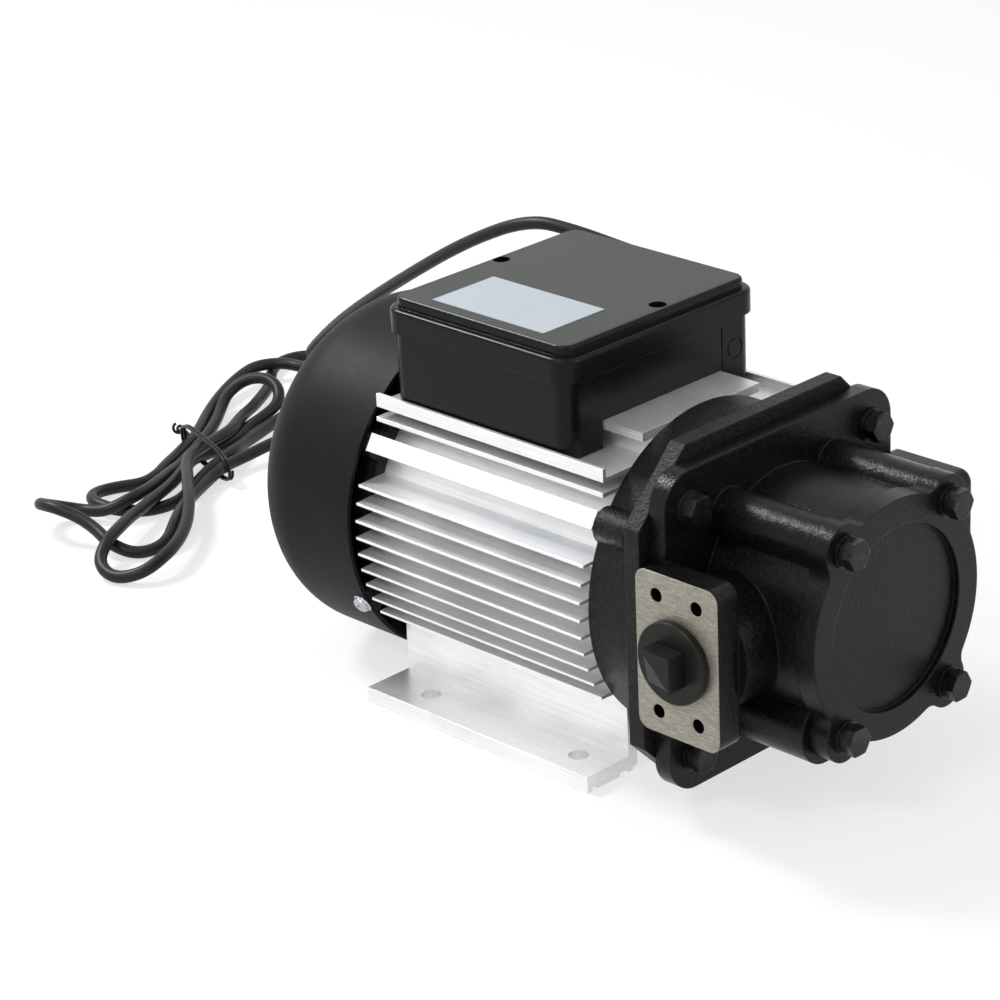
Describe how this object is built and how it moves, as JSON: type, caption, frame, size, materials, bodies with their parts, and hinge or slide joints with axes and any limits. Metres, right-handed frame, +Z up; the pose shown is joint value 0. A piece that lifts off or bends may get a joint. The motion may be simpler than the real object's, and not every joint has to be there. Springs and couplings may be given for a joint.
{
  "type": "oil transfer pump",
  "caption": "Gear-type oil transfer pump on the end of a finned foot-mounted electric motor, with side port pads, a terminal box and a tied mains cable.",
  "frame": {"origin": "centre of the four foot holes, on the plane that the feet stand on", "axes": "+X along the shaft towards the pump head, +Z up, +Y towards the open port and the cable gland"},
  "size_m": [0.6612, 0.3336, 0.2096],
  "materials": {
    "housing_aluminium": "satin, as extruded",
    "laminations": "stacked sheet",
    "copper": "varnished wire",
    "ground_steel": "ground",
    "black_casting": "grainy black paint over a casting",
    "pump_casting": "semi-gloss black paint",
    "black_sheet": "satin black",
    "fan_plastic": "moulded",
    "dark_fasteners": "black, semi-gloss",
    "zinc_steel": "bright zinc plate",
    "seal_rubber": "moulded",
    "bush_bronze": "turned",
    "plug_plastic": "moulded",
    "box_plastic": "finely grained",
    "bare_plate": "bare satin plate",
    "terminal_plastic": "moulded",
    "capacitor_plastic": "moulded",
    "cable_sheath": "satin sheath",
    "tie_wire": "coated wire",
    "plug_rubber": "moulded",
    "pin_nickel": "nickel plate"
  },
  "bodies": {
    "pump_unit": {"motor_housing": "housing_aluminium", "stator_core": "laminations", "stator_windings": "copper", "rear_bearing": "ground_steel", "front_bearing": "ground_steel", "rear_end_shield": "black_casting", "fan_cover": "black_sheet", "fan_cover_screws": "zinc_steel", "tie_rods": "zinc_steel", "front_end_shield": "black_casting", "pump_body": "pump_casting", "body_bolts": "dark_fasteners", "body_bolt_washers": "dark_fasteners", "body_spring_washers": "dark_fasteners", "pump_cover": "pump_casting", "cover_bolts": "dark_fasteners", "cover_bolt_washers": "dark_fasteners", "cover_spring_washers": "dark_fasteners", "cover_seal_ring": "seal_rubber", "shaft_seal": "seal_rubber", "shaft_bush": "bush_bronze", "bypass_spring": "ground_steel", "bypass_cap": "dark_fasteners", "bypass_cap_washer": "bush_bronze", "terminal_box_base": "box_plastic", "lid_gasket": "seal_rubber", "terminal_box_lid": "box_plastic", "lid_screws": "zinc_steel", "box_base_screws": "zinc_steel", "rating_plate": "bare_plate", "terminal_block": "terminal_plastic", "run_capacitor": "capacitor_plastic", "cable_gland_body": "plug_plastic", "cable_gland_nut": "plug_plastic", "cable_gland_locknut": "plug_plastic", "cable_lead": "cable_sheath", "cable_hank": "cable_sheath", "cable_tail": "cable_sheath", "twist_tie": "tie_wire", "mains_plug": "plug_rubber", "plug_pins": "pin_nickel"},
    "rotor": {"motor_shaft": "ground_steel", "rotor_core": "laminations", "cooling_fan": "fan_plastic", "drive_key": "ground_steel", "inner_rotor": "ground_steel"},
    "rotor_ring": {"outer_rotor": "ground_steel"},
    "relief_poppet": {"bypass_poppet": "ground_steel"},
    "near_port_plug": {"port_plug": "plug_plastic", "port_plug_seal": "seal_rubber"}
  },
  "joints": [
    {"name": "rotor_spin", "type": "hinge", "parent": "pump_unit", "child": "rotor", "pos_m": [0, 0, 0.09], "axis": [1, 0, 0], "continuous": true},
    {"name": "outer_rotor_spin", "type": "hinge", "parent": "pump_unit", "child": "rotor_ring", "pos_m": [0.162, 0, 0.0945], "axis": [1, 0, 0], "continuous": true},
    {"name": "bypass_lift", "type": "slide", "parent": "pump_unit", "child": "relief_poppet", "axis": [0, 0, -1], "range_m": [0, 0.004], "stiffness_N_per_m": 3000, "springref_m": -0.003, "deforming": ["bypass_spring"]},
    {"name": "port_plug_pull", "type": "slide", "parent": "pump_unit", "child": "near_port_plug", "axis": [0, -1, 0], "range_m": [0, 0.04]}
  ],
  "couplings": [
    {"joint": "outer_rotor_spin", "follows": "rotor_spin", "ratio": 0.85714}
  ]
}
